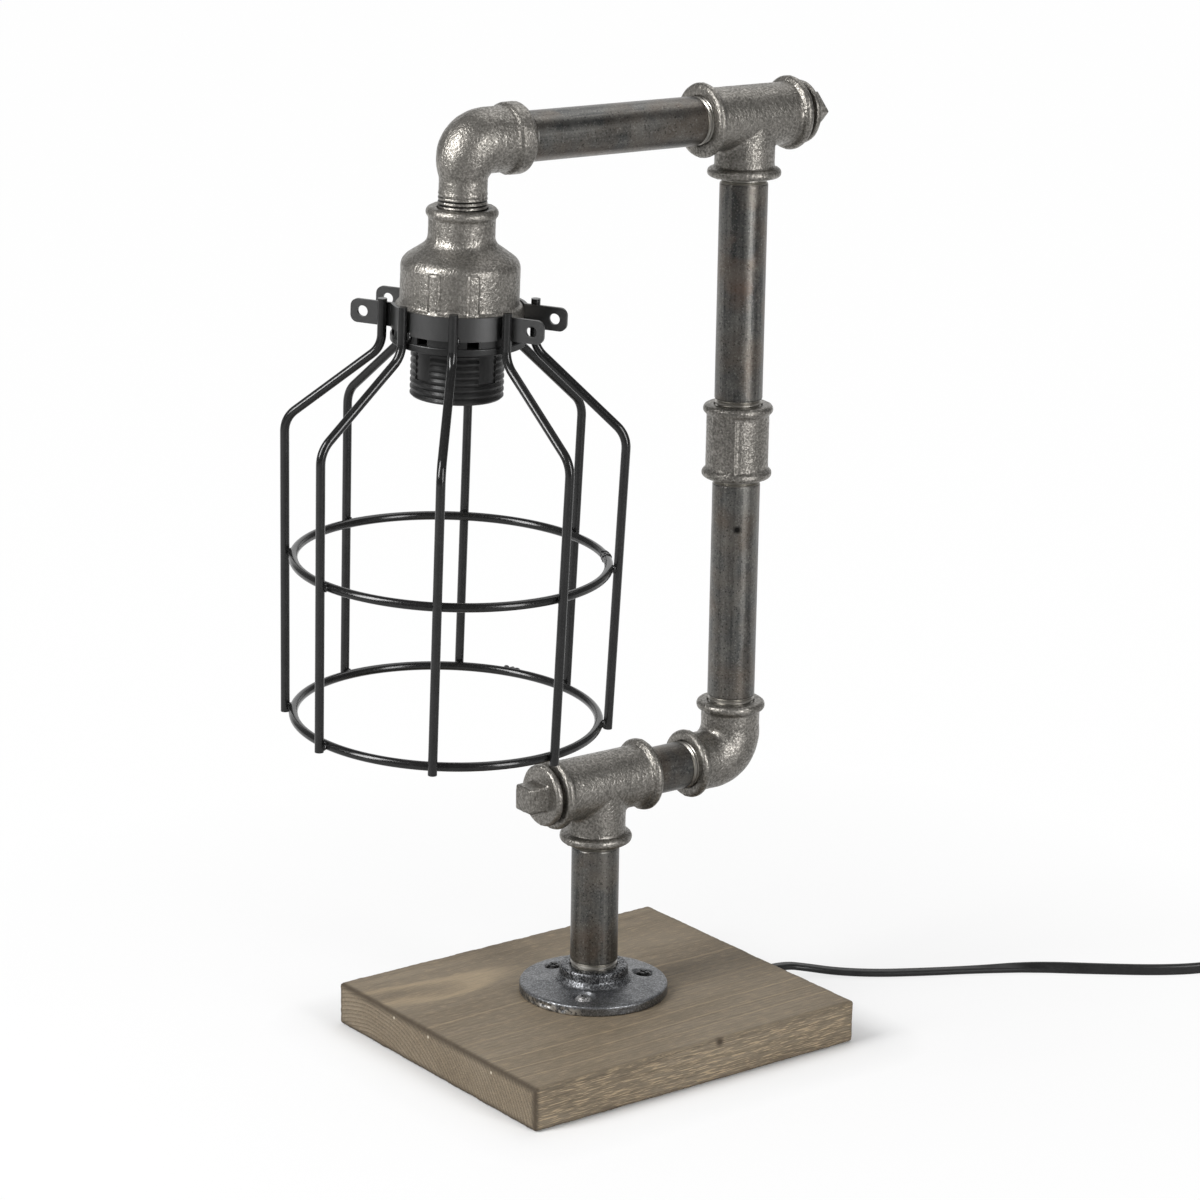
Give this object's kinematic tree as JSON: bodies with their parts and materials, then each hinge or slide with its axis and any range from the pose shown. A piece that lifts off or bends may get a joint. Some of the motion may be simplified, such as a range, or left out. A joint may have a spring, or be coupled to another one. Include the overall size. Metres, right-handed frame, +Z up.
{
  "type": "table lamp",
  "caption": "Industrial pipe table lamp: iron fittings on a wooden board, swing arm, tilting caged bulb holder, cord with inline rocker switch and plug.",
  "frame": {"origin": "on the surface that the board stands on, straight below the riser pipe's axis", "axes": "+Z up, +X from the lamp head towards the upright, parallel to the board's long edges, +Y away from the viewer's side"},
  "size_m": [0.6344, 0.21, 0.4231],
  "materials": {
    "board": "matte grey-brown stain",
    "cover": "raw",
    "fitting": "oiled sand-cast skin",
    "flange": "dark oiled cast skin",
    "pipe": "dark mill scale, oiled",
    "bell": "dark oiled cast skin",
    "cage": "gloss black",
    "band": "satin black",
    "holder": "satin black",
    "core": "matt",
    "shell": "bright",
    "screw": "zinc plated",
    "bush": "turned",
    "cord": "satin black",
    "switch": "satin black",
    "plug": "satin black",
    "pin": "nickel plated"
  },
  "bodies": {
    "stand": {"base_board": "board", "groove_cover": "cover", "cover_screws": "screw", "floor_flange": "flange", "flange_screws": "screw", "riser_pipe": "pipe", "lower_tee": "fitting", "lower_plug": "fitting", "lower_nipple": "pipe", "lower_elbow": "fitting", "lower_upright_pipe": "pipe", "upright_coupling": "fitting", "upper_upright_pipe": "pipe", "stand_lead": "cord", "cord_boot": "cord", "cord_anchor": "screw", "anchor_screws": "screw", "cord_lamp_side": "cord", "switch_base": "switch", "switch_cover": "switch", "switch_screws": "screw", "switch_contacts": "bush", "cord_plug_side": "cord", "cord_coil": "cord", "cord_tail": "cord", "plug_case": "plug", "plug_pins": "pin"},
    "arm": {"upper_tee": "fitting", "upper_plug": "fitting", "arm_pipe": "pipe", "arm_lead": "cord"},
    "head": {"street_elbow": "fitting", "head_lead": "cord", "reducing_socket": "bell", "entry_bush": "bush", "entry_nipple": "bush", "nipple_nut": "screw", "holder_cap": "holder", "holder_skirt": "holder", "holder_core": "core", "screw_shell": "shell", "centre_contact": "shell", "side_contact": "shell", "terminal_screws": "screw", "shade_ring": "holder", "cage_band_front": "band", "cage_band_rear": "band", "cage_mid_ring": "cage", "cage_low_ring": "cage", "cage_wire_1": "cage", "cage_wire_2": "cage", "cage_wire_3": "cage", "cage_wire_4": "cage", "cage_wire_5": "cage", "cage_wire_6": "cage", "cage_wire_7": "cage", "cage_wire_8": "cage"},
    "rocker": {"switch_rocker": "switch"}
  },
  "joints": [
    {"name": "arm_swing", "type": "hinge", "parent": "stand", "child": "arm", "pos_m": [0.0755, 0, 0.3806], "axis": [0, 0, 1], "range_deg": [-90, 90]},
    {"name": "head_tilt", "type": "hinge", "parent": "arm", "child": "head", "pos_m": [-0.0581, 0, 0.4069], "axis": [1, 0, 0], "range_deg": [-90, 90]},
    {"name": "switch_rock", "type": "hinge", "parent": "stand", "child": "rocker", "pos_m": [0.348, -0.114, 0.0134], "axis": [0, 1, 0], "range_deg": [-10, 10]}
  ]
}
